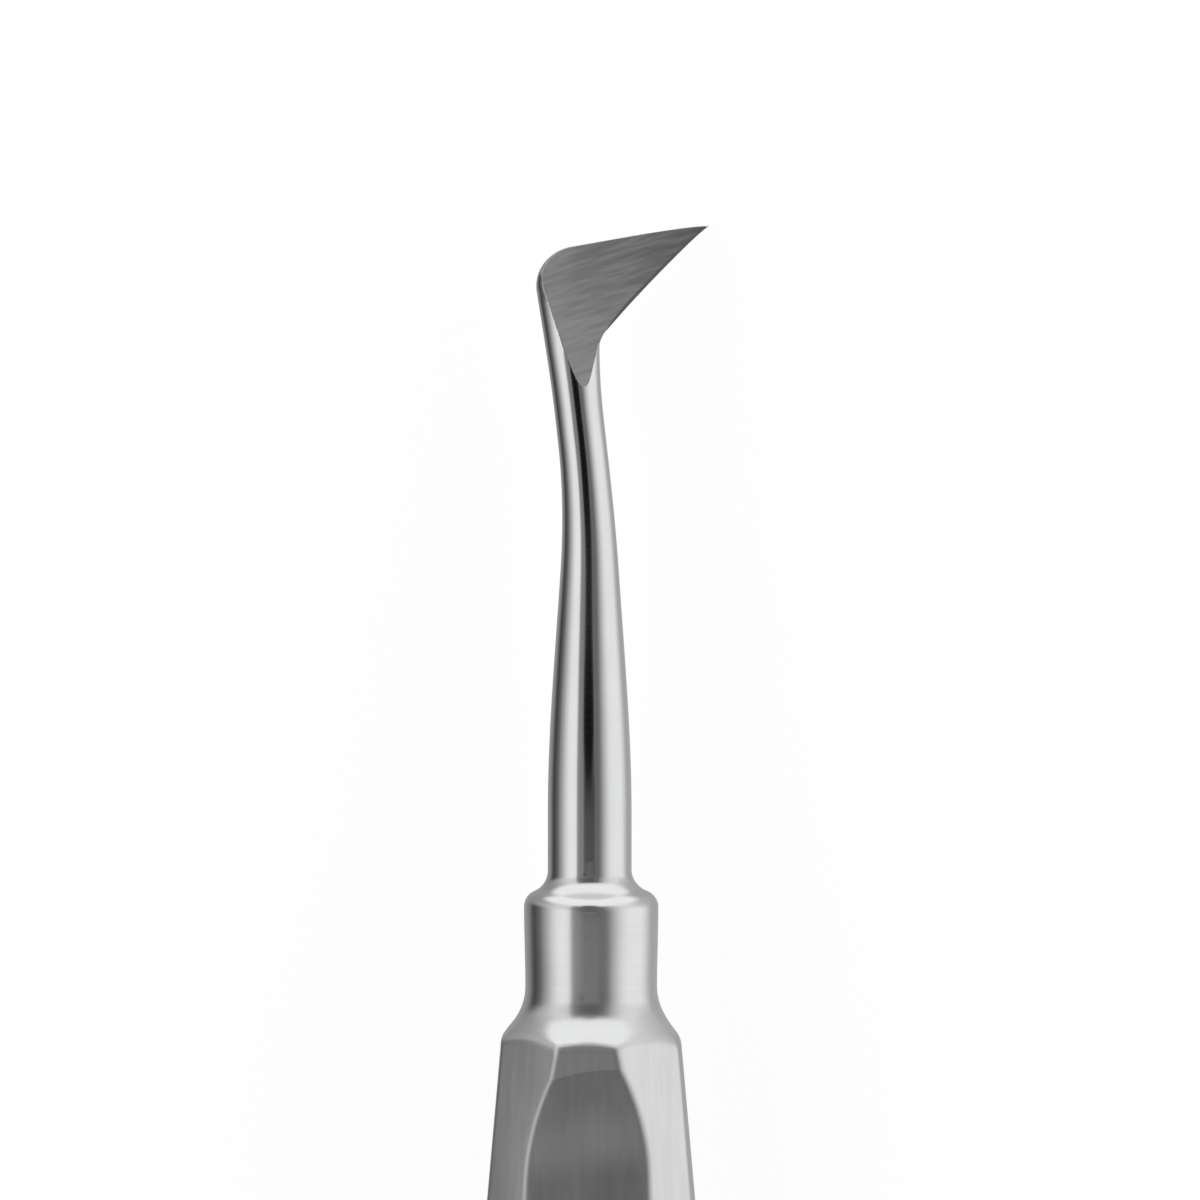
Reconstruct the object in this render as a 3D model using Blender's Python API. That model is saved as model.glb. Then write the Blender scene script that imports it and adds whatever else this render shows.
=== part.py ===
"""Angled dental elevator, flag pattern: one piece of stainless steel.

The instrument lies on the back flat of its grip, as it rests on a tray. Its axis runs along Y with
the blade at +Y, the ground face of the blade looks up, and the blade points to +X.

It is made in the order of the real one: a blank is turned, its shank is bent and its end is forged
sideways into a flag; the grip is then ground to eight flats, two of them hollowed for the thumb;
and last the face of the flag and the land along its working edge are ground.
"""

import math

import bmesh
import bpy
from mathutils import Vector

# Sizes are in metres and angles in degrees. A station is a place along the axis, measured from
# the shoulder where the grip begins: the blade has positive stations and the butt negative ones.

# Overall
handle_length = 0.0954
tip_reach = 0.05467
tip_side = 0.00771

# Grip: distances from the axis to its flats at the shoulder, and how they open towards the belly
side_distance = 0.00599
diagonal_distance = 0.00565
front_distance = 0.00592
grip_taper = 4.95
belly_length = 0.0285
belly_blend = 0.012
tail_taper = 0.9
facet_edge_round = 0.0007

# Thumb flats on the front and the back, ground by a wheel that enters at the crease
lead_slope = 4.0
crease_length = 0.0012
wheel_radius = 0.0172
wheel_entry = 19.5
flat_distance = 0.0065
flat_blend = 0.006

# Butt
dome_rise = 0.0042

# Neck, from the shoulder's cone to the collar and its fillet
stock_allowance = 0.06
shoulder_cone = 56.0
shoulder_fillet = 0.00385
waist_radius = 0.004405
waist_station = 0.0039
collar_radius = 0.00449
collar_station = 0.0092
collar_edge_round = 0.0011
collar_fillet = 0.0016

# Shank, forged a little off the collar's axis. The stations of its bend and of the blade follow
# from the tip, so that a longer instrument has a longer shank and the same blade.
shank_offset = -0.0001
shank_radius = 0.0028
slim_radius = 0.001605
slimming_start = 0.0155
slim_station = tip_reach - 0.01417
bend_start = tip_reach - 0.02327
bend_length = 0.0087
bend_angle = 6.33
blade_root = tip_reach - 0.01267

# Flag: the inner corner below the working edge, the heel above it, and the top edge, which leaves
# the heel and meets the tip at two leans, and follows each for a reach
corner_side = 0.00056
corner_station = tip_reach - 0.00746
corner_round = 0.0015
heel_side = -0.00359
heel_station = tip_reach - 0.00452
heel_lean = 8.1
heel_radius = 0.00275
top_edge_lean = 10.3
top_edge_reach = 0.004
tip_lean = 4.0
tip_lean_reach = 0.0022
back_roundness = 0.5

# How far the widest part of a section lies under the ground face: a least depth, and a share of
# the section's half width on top of it
rim_least = 0.00004
rim_share = 0.1

# Where the sections change from round to flat: shares of the way up to the corner and the heel
flattening_start = 0.6
flattening_end = 0.6

# Ground face: its run-out on the shank and the way that it looks. The land on its edge keeps its
# width the further towards its ends, the more even it is.
face_runout_station = tip_reach - 0.01067
face_turn = 22.5
face_pitch = 9.5
edge_land = 0.00022
edge_land_angle = 48.0
land_evenness = 6
edge_hollow = 0.00014

# Grinding: how far the tools run past the steel that they take away, how far the grip's tool opens
# to clear the neck, and the size under which a section counts as a point
overrun = 0.002
clear_opening = 3.0
point_size = 0.000001

# Facet counts
turned_sides = 48
round_steps = 8
shank_steps = 22
root_steps = 9
heel_steps = 11
flag_steps = 14
flat_steps = 10
edge_steps = 2
land_steps = 12

# Finish
steel_colour = (0.60, 0.61, 0.62, 1.0)
steel_roughness = 0.16
sharp_edge_angle = 30.0

ACROSS = Vector((1.0, 0.0, 0.0))
ALONG = Vector((0.0, 1.0, 0.0))
UP = Vector((0.0, 0.0, 1.0))


def clear_scene():
    for old in list(bpy.data.objects):
        bpy.data.objects.remove(old)


def stainless_steel():
    material = bpy.data.materials.new("stainless_steel")
    material.use_nodes = True
    shader = material.node_tree.nodes["Principled BSDF"]
    shader.inputs["Base Color"].default_value = steel_colour
    shader.inputs["Metallic"].default_value = 1.0
    shader.inputs["Roughness"].default_value = steel_roughness
    return material


def shares(steps):
    """Even shares of a stretch, from 0 to 1."""
    return [step / steps for step in range(steps + 1)]


def mix(a, b, share):
    return a + (b - a) * share


def smooth_share(share):
    """A share from 0 to 1 that starts and ends gently, and stays within them."""
    share = min(max(share, 0.0), 1.0)
    return share * share * (3.0 - 2.0 * share)


def bezier(start, start_handle, end_handle, end, share):
    """A point on the cubic curve through two ends with two handles."""
    rest = 1.0 - share
    return (
        start * rest**3
        + start_handle * (3.0 * rest * rest * share)
        + end_handle * (3.0 * rest * share * share)
        + end * share**3
    )


def loft(rings, name):
    """A closed mesh object through rings of equal count. A ring of one point is a pole."""
    shape = bmesh.new()
    made = [[shape.verts.new(point) for point in ring] for ring in rings]
    for first, second in zip(made, made[1:]):
        count = max(len(first), len(second))
        for index in range(count):
            after = (index + 1) % count
            corners = [first[index % len(first)], second[index % len(second)]]
            if len(second) > 1:
                corners.append(second[after])
            if len(first) > 1:
                corners.append(first[after])
            shape.faces.new(corners)
    for end in (made[0], made[-1]):
        if len(end) > 1:
            shape.faces.new(end)
    bmesh.ops.recalc_face_normals(shape, faces=shape.faces)
    mesh = bpy.data.meshes.new(name)
    shape.to_mesh(mesh)
    shape.free()
    piece = bpy.data.objects.new(name, mesh)
    bpy.context.scene.collection.objects.link(piece)
    return piece


def ellipse_ring(centre, half_width, half_depth):
    """Points round an ellipse that two half axes span."""
    turns = [2.0 * math.pi * side / turned_sides for side in range(turned_sides)]
    return [centre + half_width * math.cos(turn) + half_depth * math.sin(turn) for turn in turns]


# Grip


def bent_line(distance_from_shoulder, start, taper, knee, blend, taper_after):
    """A flat's distance from the axis: it opens by one taper up to the knee and by another after
    it, and turns from one to the other over the blend."""
    slope = math.tan(math.radians(taper))
    slope_after = math.tan(math.radians(taper_after))
    blend_start = knee - 0.5 * blend
    into_blend = min(max(distance_from_shoulder - blend_start, 0.0), blend)
    past_blend = max(distance_from_shoulder - blend_start - blend, 0.0)
    straight = distance_from_shoulder - into_blend - past_blend
    turning = slope * into_blend + 0.5 * (slope_after - slope) * into_blend**2 / blend
    return start + slope * straight + turning + slope_after * past_blend


def side_at(station):
    return bent_line(-station, side_distance, grip_taper, belly_length, belly_blend, -tail_taper)


def diagonal_at(station):
    return bent_line(-station, diagonal_distance, grip_taper, belly_length, belly_blend, -tail_taper)


def thumb_flat():
    """The wheel's path along the front flat: where it enters and leaves its hollow, and where the
    straight flank behind the hollow reaches the flat's full distance from the axis."""
    entry = math.radians(wheel_entry)
    leave = math.radians(grip_taper)
    crease_distance = front_distance - crease_length * math.tan(math.radians(lead_slope))
    hollow_end = crease_length + wheel_radius * (math.sin(entry) + math.sin(leave))
    hollow_distance = crease_distance - wheel_radius * (math.cos(leave) - math.cos(entry))
    knee = hollow_end + (flat_distance - hollow_distance) / math.tan(leave)
    return crease_distance, hollow_end, hollow_distance, knee


def front_at(station):
    """The front flat's distance from the axis. The back flat is the same."""
    crease_distance, hollow_end, hollow_distance, knee = thumb_flat()
    back = -station
    if back <= crease_length:
        return front_distance - back * math.tan(math.radians(lead_slope))
    if back <= hollow_end:
        wheel_place = crease_length + wheel_radius * math.sin(math.radians(wheel_entry))
        rise = math.sqrt(wheel_radius**2 - (back - wheel_place) ** 2)
        return crease_distance + wheel_radius * math.cos(math.radians(wheel_entry)) - rise
    return bent_line(
        back - hollow_end, hollow_distance, grip_taper, knee - hollow_end, flat_blend, 0.0
    )


def rounded_corner(before, corner, after, radius):
    """The points of an arc that rounds one corner of a section."""
    towards_before = (before - corner).normalized()
    towards_after = (after - corner).normalized()
    half_angle = 0.5 * towards_before.angle(towards_after)
    tangent = radius / math.tan(half_angle)
    bisector = (towards_before + towards_after).normalized()
    centre = corner + bisector * (radius / math.sin(half_angle))
    first = corner + towards_before * tangent - centre
    last = corner + towards_after * tangent - centre
    return [centre + first.slerp(last, share).normalized() * radius for share in shares(edge_steps)]


def grip_section(station, opening):
    """The eight-sided section of the grip, opened out by a factor where it must touch nothing."""
    front = front_at(station) * opening
    side = side_at(station) * opening
    diagonal = diagonal_at(station) * opening * math.sqrt(2.0)
    quarter = [Vector((side, 0.0, diagonal - side)), Vector((diagonal - front, 0.0, front))]
    corners = []
    for across, up in ((1.0, 1.0), (-1.0, 1.0), (-1.0, -1.0), (1.0, -1.0)):
        turned = [Vector((point.x * across, 0.0, point.z * up)) for point in quarter]
        corners += turned if across * up > 0.0 else reversed(turned)
    ring = []
    for index, corner in enumerate(corners):
        before = corners[index - 1]
        after = corners[(index + 1) % len(corners)]
        ring += rounded_corner(before, corner, after, facet_edge_round)
    return [point + ALONG * station for point in ring]


def grip_stations():
    """The stations where the grip's flats start, stop or turn, from the butt to the shoulder."""
    _, hollow_end, _, knee = thumb_flat()
    places = [handle_length, crease_length]
    places += [mix(crease_length, hollow_end, share) for share in shares(flat_steps)]
    places += [knee + flat_blend * (share - 0.5) for share in shares(flat_steps // 2)]
    places += [belly_length + belly_blend * (share - 0.5) for share in shares(flat_steps)]
    return sorted({round(-place, 7) for place in places})


def grip_stock():
    """The eight-sided body that the grip is ground to. It runs on past the butt, and opens out
    past the shoulder, so that it trims nothing else of the blank."""
    ends = [(-handle_length - overrun, 1.0)]
    ends += [(station, 1.0) for station in grip_stations()]
    ends += [(waist_station, 1.0)]
    ends += [(station, clear_opening) for station in (collar_station, tip_reach + overrun)]
    rings = [grip_section(min(station, 0.0), opening) for station, opening in ends]
    for ring, (station, _) in zip(rings, ends):
        for point in ring:
            point.y = station
    return loft(rings, "grip_stock")


# Turned blank


def stock_radius():
    """Radius of the bar that the blank is turned from: a little more than the belly's corners."""
    side = side_at(-belly_length)
    corner = math.hypot(side, diagonal_at(-belly_length) * math.sqrt(2.0) - side)
    return corner * (1.0 + stock_allowance)


def s_curve(start_station, start_radius, end_radius, concave, convex):
    """The turned profile of a fillet that swings over into a rounded edge, from the thin end."""
    swing = math.acos(1.0 - (end_radius - start_radius) / (concave + convex))
    points = []
    for share in shares(round_steps):
        turn = swing * share
        station = start_station - concave * math.sin(turn)
        points.append((station, start_radius + concave * (1.0 - math.cos(turn))))
    end_station = start_station - (concave + convex) * math.sin(swing)
    for share in shares(round_steps)[1:]:
        turn = swing * (1.0 - share)
        station = end_station + convex * math.sin(turn)
        points.append((station, end_radius - convex * (1.0 - math.cos(turn))))
    return points


def collar_profile():
    """Stations and radii from the foot of the shank down over the collar's edge."""
    reach = math.acos(1.0 - (collar_radius - shank_radius) / (collar_fillet + collar_edge_round))
    start = collar_station + (collar_fillet + collar_edge_round) * math.sin(reach)
    return s_curve(start, shank_radius, collar_radius, collar_fillet, collar_edge_round)


def neck_profile():
    """Stations and radii from the collar's edge down to the waist, and out over the shoulder's
    fillet and cone to the full radius of the grip's stock."""
    points = []
    for share in shares(round_steps)[1:]:
        station = mix(collar_station, waist_station, share)
        points.append((station, mix(collar_radius, waist_radius, smooth_share(share))))
    cone = math.radians(shoulder_cone)
    for share in shares(round_steps)[1:]:
        turn = cone * share
        station = waist_station - shoulder_fillet * math.sin(turn)
        points.append((station, waist_radius + shoulder_fillet * (1.0 - math.cos(turn))))
    station, radius = points[-1]
    full = stock_radius()
    points.append((station - (full - radius) / math.tan(cone), full))
    return points


def butt_profile():
    """Stations and radii of the butt's dome, from its rim to the axis."""
    full = stock_radius()
    ball = (full**2 + dome_rise**2) / (2.0 * dome_rise)
    half_span = math.asin(full / ball)
    points = []
    for share in shares(round_steps):
        turn = half_span * (1.0 - share)
        points.append((ball * (1.0 - math.cos(turn)) - handle_length, ball * math.sin(turn)))
    return points


def turned_rings():
    """The rings of the blank from the butt's pole up to the foot of the shank. The collar's fillet
    takes up the shank's offset from the axis."""
    foot = collar_profile()[0][0]
    profile = collar_profile() + neck_profile() + butt_profile()
    rings = []
    for station, radius in reversed(profile):
        aside = shank_offset * smooth_share((station - collar_station) / (foot - collar_station))
        centre = ACROSS * aside + ALONG * station
        if radius < point_size:
            rings.append([centre])
        else:
            rings.append(ellipse_ring(centre, ACROSS * radius, UP * radius))
    return rings


# Shank


def shank_centre(station):
    """The shank's centre line: straight, then an even bend away from the blade, then straight."""
    slope = math.tan(math.radians(bend_angle))
    into_bend = min(max(station - bend_start, 0.0), bend_length)
    past_bend = max(station - bend_start - bend_length, 0.0)
    aside = 0.5 * slope * into_bend**2 / bend_length + slope * past_bend
    return Vector((shank_offset - aside, station, 0.0))


def shank_direction(station):
    slope = math.tan(math.radians(bend_angle))
    bent = min(max((station - bend_start) / bend_length, 0.0), 1.0)
    return Vector((-slope * bent, 1.0, 0.0)).normalized()


def shank_radius_at(station):
    share = smooth_share((station - slimming_start) / (slim_station - slimming_start))
    return mix(shank_radius, slim_radius, share)


def shank_edge(station, side):
    """A point on the shank's outline: side is 1 for the blade's side and -1 for the other."""
    direction = shank_direction(station)
    outwards = Vector((direction.y, -direction.x, 0.0))
    return shank_centre(station) + outwards * (shank_radius_at(station) * side)


def shank_rings():
    foot = collar_profile()[0][0]
    rings = []
    for share in shares(shank_steps)[1:-1]:
        station = mix(foot, blade_root, share)
        centre = shank_centre(station)
        half_width = shank_edge(station, 1.0) - centre
        rings.append(ellipse_ring(centre, half_width, UP * shank_radius_at(station)))
    return rings


# Blade


def direction_at(lean):
    """A direction in the plane of the flag, at an angle from straight sideways."""
    return Vector((math.cos(math.radians(lean)), math.sin(math.radians(lean)), 0.0))


def face_normal():
    turn = math.radians(face_turn)
    pitch = math.radians(face_pitch)
    sideways = math.sin(turn) * math.cos(pitch)
    return Vector((sideways, math.sin(pitch), math.cos(turn) * math.cos(pitch)))


def face_point():
    """Where the ground face runs out on the shank."""
    turn = math.radians(face_turn)
    outwards = Vector((math.sin(turn), 0.0, math.cos(turn)))
    return shank_centre(face_runout_station) + outwards * shank_radius_at(face_runout_station)


def face_height(point):
    """How high the ground face lies above the axis at a place of the flag's outline."""
    normal = face_normal()
    return face_point().z - normal.dot(point - face_point() + UP * face_point().z) / normal.z


def flag_tip():
    return Vector((tip_side, tip_reach, 0.0))


def corner_arc():
    """The start, the end and the directions of the rounding in the flag's inner corner."""
    corner = Vector((corner_side, corner_station, 0.0))
    edge = (flag_tip() - corner).normalized()
    tangent = corner_round * math.tan(0.5 * ALONG.angle(edge))
    return corner - ALONG * tangent, corner + edge * tangent, edge


def hollow_at(share):
    """How far the working edge is hollowed at a share of its length."""
    return edge_hollow * (1.0 - (2.0 * share - 1.0) ** 2)


def inner_outline():
    """The flag's outline on the shank's inner side: up to the corner, round it, along the edge."""
    root = shank_edge(blade_root, 1.0)
    start, end, edge = corner_arc()
    inwards = Vector((-edge.y, edge.x, 0.0))
    reach = (start - root).length / 3.0
    grip = (end - start).length / 3.0
    points = []
    for share in shares(root_steps):
        handle = root + shank_direction(blade_root) * reach
        points.append(bezier(root, handle, start - ALONG * reach, start, share))
    for share in shares(heel_steps)[1:]:
        points.append(bezier(start, start + ALONG * grip, end - edge * grip, end, share))
    for share in shares(flag_steps)[1:]:
        points.append(mix(end, flag_tip(), share) + inwards * hollow_at(share))
    return points


def outer_outline():
    """The flag's outline on the outer side: up to the heel, round it, and along the top edge."""
    root = shank_edge(blade_root, -1.0)
    heel = Vector((heel_side, heel_station, 0.0))
    lean = 90.0 + heel_lean
    heel_centre = heel - direction_at(lean + 90.0) * heel_radius
    heel_end = heel_centre + direction_at(top_edge_lean + 90.0) * heel_radius
    reach = (heel - root).length / 3.0
    points = []
    for share in shares(root_steps):
        handle = root + shank_direction(blade_root) * reach
        points.append(bezier(root, handle, heel - direction_at(lean) * reach, heel, share))
    for share in shares(heel_steps)[1:]:
        turn = mix(lean, top_edge_lean, share) + 90.0
        points.append(heel_centre + direction_at(turn) * heel_radius)
    crown = heel_end + direction_at(top_edge_lean) * top_edge_reach
    tip_handle = flag_tip() - direction_at(tip_lean) * tip_lean_reach
    for share in shares(flag_steps)[1:]:
        points.append(bezier(heel_end, crown, tip_handle, flag_tip(), share))
    return points


def flag_rings():
    """Sections that fan from the shank round the heel to the tip. Each is an ellipse between the
    two outlines. On the shank it is centred on the axis, and out in the flag it lies just under
    the ground face, so that grinding leaves its rounded back."""
    rings = []
    pairs = list(zip(inner_outline(), outer_outline()))
    for index, (inner, outer) in enumerate(pairs):
        start = flattening_start * root_steps
        end = root_steps + flattening_end * heel_steps
        into_flag = smooth_share((index - start) / (end - start))
        rim = rim_least + rim_share * 0.5 * (inner - outer).length
        ends = []
        for point in (inner, outer):
            ends.append(point + UP * ((face_height(point) - rim) * into_flag))
        half_width = 0.5 * (ends[0] - ends[1])
        centre = 0.5 * (ends[0] + ends[1])
        if half_width.length < point_size:
            rings.append([centre])
            continue
        across = half_width.normalized()
        outwards = mix(UP, face_normal(), into_flag)
        outwards = (outwards - across * across.dot(outwards)).normalized()
        depth = mix(shank_radius_at(blade_root), back_roundness * half_width.length, into_flag)
        rings.append(ellipse_ring(centre, half_width, outwards * depth))
    return rings


def blank():
    return loft(turned_rings() + shank_rings() + flag_rings(), "dental_elevator")


# Grinding


def grinder(name, profile, across, outwards, size):
    """A tool that takes away all on the outer side of a surface. The profile is the surface's line
    in the direction of the grinding, and it runs straight across."""
    rings = []
    for side in (-size, size):
        near = [point + across * side for point in profile]
        rings.append(near + [point + outwards * size for point in reversed(near)])
    return loft(rings, name)


def face_grinder():
    """The wheel that grinds the flat of the flag. It starts just below the place where the plane
    runs out on the shank, and so it stays clear of the collar."""
    normal = face_normal()
    up_the_flag = (ALONG - normal * normal.dot(ALONG)).normalized()
    across = normal.cross(up_the_flag)
    size = tip_reach - face_runout_station + tip_side
    profile = [face_point() + up_the_flag * reach for reach in (-overrun, size)]
    return grinder("face_grinder", profile, across, normal, size)


def land_grinder():
    """The wheel that grinds the narrow land along the hollow of the working edge. The land runs out
    at the corner and at the tip."""
    _, start, _ = corner_arc()
    normal = face_normal()
    tip = flag_tip()
    along = (tip + UP * face_height(tip) - start - UP * face_height(start)).normalized()
    away = along.cross(normal).normalized()
    angle = math.radians(edge_land_angle)
    outwards = normal * math.cos(angle) + away * math.sin(angle)
    profile = []
    for share in shares(land_steps):
        point = mix(start, tip, share)
        inset = hollow_at(share) + edge_land * (1.0 - (2.0 * share - 1.0) ** land_evenness)
        profile.append(point + UP * face_height(point) - away * inset)
    profile.append(profile[-1] + along * overrun)
    return grinder("land_grinder", profile, along.cross(outwards), outwards, overrun)


def cut(piece, cutter, operation):
    """Cuts the piece with the cutter, which stays in the scene as a hidden guide."""
    cutter.hide_render = True
    cutter.display_type = "WIRE"
    step = piece.modifiers.new(cutter.name, "BOOLEAN")
    step.operation = operation
    step.object = cutter
    step.solver = "EXACT"


def dental_elevator():
    piece = blank()
    cutters = [grip_stock(), face_grinder(), land_grinder()]
    cut(piece, cutters[0], "INTERSECT")
    cut(piece, cutters[1], "DIFFERENCE")
    cut(piece, cutters[2], "DIFFERENCE")
    piece.data.materials.append(stainless_steel())
    piece.data.shade_smooth()
    piece.data.set_sharp_from_angle(angle=math.radians(sharp_edge_angle))
    to_rest = Vector((0.0, 0.5 * (handle_length - tip_reach), flat_distance))
    for thing in [piece] + cutters:
        thing.location = to_rest
    return piece


clear_scene()
dental_elevator()
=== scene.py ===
import math
from collections import namedtuple

import bmesh
import bpy
import numpy as np
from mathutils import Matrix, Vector


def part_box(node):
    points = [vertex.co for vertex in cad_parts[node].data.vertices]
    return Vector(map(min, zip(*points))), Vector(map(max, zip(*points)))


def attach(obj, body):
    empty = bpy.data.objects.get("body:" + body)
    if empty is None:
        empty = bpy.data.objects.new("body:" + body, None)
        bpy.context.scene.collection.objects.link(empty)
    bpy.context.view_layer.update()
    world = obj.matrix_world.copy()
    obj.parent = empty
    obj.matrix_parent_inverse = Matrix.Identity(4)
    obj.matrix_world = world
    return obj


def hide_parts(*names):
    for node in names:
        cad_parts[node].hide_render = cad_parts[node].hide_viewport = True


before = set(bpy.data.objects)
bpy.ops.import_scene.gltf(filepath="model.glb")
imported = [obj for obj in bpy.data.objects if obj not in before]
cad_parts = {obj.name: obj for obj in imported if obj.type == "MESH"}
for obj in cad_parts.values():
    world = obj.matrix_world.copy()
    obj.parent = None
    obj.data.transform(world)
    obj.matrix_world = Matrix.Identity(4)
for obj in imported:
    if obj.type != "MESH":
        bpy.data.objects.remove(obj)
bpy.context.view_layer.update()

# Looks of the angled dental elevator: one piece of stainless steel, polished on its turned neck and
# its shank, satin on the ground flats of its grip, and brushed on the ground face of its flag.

LOWEST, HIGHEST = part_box("dental_elevator")

# Sizes are in metres and angles in degrees. A station is a place along the axis, measured from
# the shoulder where the grip begins: the blade has positive stations and the butt negative ones.

# Overall, from the frame
FLAT_DISTANCE = 0.5 * (HIGHEST[2] - LOWEST[2])
AXIS_HEIGHT = LOWEST[2] + FLAT_DISTANCE
TIP_REACH = 0.05467
HANDLE_LENGTH = HIGHEST[1] - LOWEST[1] - TIP_REACH
SHOULDER_PLACE = LOWEST[1] + HANDLE_LENGTH
TIP_SIDE = 0.00771

# Grip
SIDE_DISTANCE = 0.00599
DIAGONAL_DISTANCE = 0.00565
FRONT_DISTANCE = 0.00592
GRIP_TAPER = 4.95
BELLY_LENGTH = 0.0285
BELLY_BLEND = 0.012
TAIL_TAPER = 0.9
FACET_EDGE_ROUND = 0.0007
FLAT_CROWN = 0.00003
LEAD_SLOPE = 4.0
CREASE_LENGTH = 0.0012
CREASE_SKEW = 0.157
CREASE_BOW = 0.0002
CREASE_HALF_WIDTH = 0.0021
WHEEL_RADIUS = 0.0172
WHEEL_ENTRY = 19.5
FLAT_BLEND = 0.006
DOME_RISE = 0.0042

# Neck
STOCK_ALLOWANCE = 0.06
SHOULDER_CONE = 56.0
SHOULDER_FILLET = 0.00385
WAIST_RADIUS = 0.004405
WAIST_STATION = 0.0039
COLLAR_RADIUS = 0.00449
COLLAR_STATION = 0.0092
COLLAR_EDGE_ROUND = 0.0011
COLLAR_FILLET = 0.0016
SHOULDER_SOFTNESS_FRONT = 0.0009
SHOULDER_SOFTNESS_BLADE_SIDE = 0.0013
SHOULDER_SOFTNESS_OTHER_SIDE = 0.00075
BUTT_EDGE_SOFTNESS = 0.0003

# Shank
SHANK_OFFSET = -0.0001
SHANK_RADIUS = 0.0028
SLIM_RADIUS = 0.001605
SLIMMING_START = 0.0155
SLIM_STATION = TIP_REACH - 0.01417
BEND_START = TIP_REACH - 0.02327
BEND_LENGTH = 0.0087
BEND_ANGLE = 6.33
BLADE_ROOT = TIP_REACH - 0.01267

# Flag
CORNER_SIDE = 0.00056
CORNER_STATION = TIP_REACH - 0.00746
CORNER_ROUND = 0.0015
HEEL_SIDE = -0.00359
HEEL_STATION = TIP_REACH - 0.00452
HEEL_LEAN = 8.1
HEEL_RADIUS = 0.00275
TOP_EDGE_LEAN = 10.3
TOP_EDGE_REACH = 0.004
TIP_LEAN = 4.0
TIP_LEAN_REACH = 0.0022
BACK_ROUNDNESS = 0.5
RIM_LEAST = 0.00004
RIM_SHARE = 0.1
FLATTENING_START = 0.6
FLATTENING_END = 0.6
FACE_RUNOUT_STATION = TIP_REACH - 0.01067
FACE_TURN = 22.5
FACE_PITCH = 9.5
EDGE_LAND = 0.00022
EDGE_LAND_ANGLE = 48.0
EDGE_HOLLOW = 0.00014
LAND_EVENNESS = 6

# The grip's section has eight flats. Flat 0 looks to the blade's side and flat 2 up, and corner
# number n lies between flat n and flat n + 1. The thumb flats are 2 and 6.
FLATS = 8
EIGHTH_TURN = 2.0 * math.pi / FLATS
CORNERS_AWAY_FROM_BLADE = (2, 3, 4, 5)
CORNERS_OF_SIDES = (0, 3, 4, 7)
CORNERS_OF_THUMB_FLATS = (1, 2, 5, 6)
CORNERS_BEFORE_THUMB_FLATS = (1, 5)

# Columns of points run round the piece. The rounded edge at a corner comes before the next flat.
EDGE_COLUMNS = 6
FLAT_COLUMNS = 18
COLUMNS_PER_FLAT = EDGE_COLUMNS + FLAT_COLUMNS
COLUMNS = FLATS * COLUMNS_PER_FLAT

# Rows of points in each stretch of the piece, from the butt to the tip. Both ends of the flats
# have the rows of an edge.
BUTT_ROWS = 14
EDGE_ROWS = 12
TAIL_ROWS = 34
FLANK_ROWS = 44
HOLLOW_ROWS = 44
CREASE_ROWS = 2
LEAD_ROWS = 8
SHOULDER_ROWS = 22
WAIST_ROWS = 16
COLLAR_EDGE_ROWS = 12
COLLAR_FILLET_ROWS = 14
SHANK_ROWS = 110
ROOT_ROWS = 36
HEEL_ROWS = 48
FLAG_ROWS = 60

# Rows at which the finish changes. The satin starts and ends in the middle of the rounded edges at
# the two ends of the flats.
GRIP_START = BUTT_ROWS + EDGE_ROWS // 2
GRIP_ROWS = TAIL_ROWS + FLANK_ROWS + HOLLOW_ROWS + CREASE_ROWS + LEAD_ROWS
NECK_START = GRIP_START + GRIP_ROWS + EDGE_ROWS
NECK_END = NECK_START + SHOULDER_ROWS + WAIST_ROWS + COLLAR_EDGE_ROWS + COLLAR_FILLET_ROWS

# How the rows lie. The first keeps a gap to the butt's pole, and the next ones crowd towards it.
# The rows of an edge spread to both sides of it, at the shoulder in proportion to its softness.
POLE_GAP = 0.000001
BUTT_CROWDING = 1.6
BUTT_EDGE_SPREAD = 0.0004
CREASE_SPREAD = 0.00004
SHOULDER_EDGE_SPREAD = 1.15

# The arcs in which the flats run out on the cone lie within a reach behind the shoulder, and are
# found by halvings. Past the waist, the columns come to be spread evenly within a length.
SHOULDER_ARC_REACH = 0.0018
HALVINGS = 50
EVENING_LENGTH = 0.005

# Grinding
LAND_STEPS = 40
OVERRUN = 0.002

# Numbers of the finishes, in the order in which dress() gives them to the piece
POLISHED, TURNED, SATIN, BRUSHED, LAND = range(5)

UP = Vector((0.0, 0.0, 1.0))
ALONG = Vector((0.0, 1.0, 0.0))


def mix(first, second, share):
    return first + (second - first) * share


def smooth_share(share):
    share = np.clip(share, 0.0, 1.0)
    return share * share * (3.0 - 2.0 * share)


def shares(steps):
    """Even shares from 0 to 1."""
    return [step / steps for step in range(steps + 1)]


def lesser(first, second, softness):
    """The lesser of two, with the corner where they cross rounded off."""
    near = np.maximum(softness - np.abs(first - second), 0.0) / softness
    return np.minimum(first, second) - near * near * softness / 4.0


# Grip


def bent_line(back, start, taper, knee, blend, taper_after):
    """A flat's distance from the axis at a distance back from the shoulder."""
    slope = math.tan(math.radians(taper))
    slope_after = math.tan(math.radians(taper_after))
    blend_start = knee - 0.5 * blend
    into_blend = np.clip(back - blend_start, 0.0, blend)
    past_blend = np.maximum(back - blend_start - blend, 0.0)
    straight = back - into_blend - past_blend
    turning = slope * into_blend + 0.5 * (slope_after - slope) * into_blend**2 / blend
    return start + slope * straight + turning + slope_after * past_blend


def side_at(back):
    """The two side flats' distance from the axis at a distance back from the shoulder."""
    return bent_line(back, SIDE_DISTANCE, GRIP_TAPER, BELLY_LENGTH, BELLY_BLEND, -TAIL_TAPER)


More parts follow.
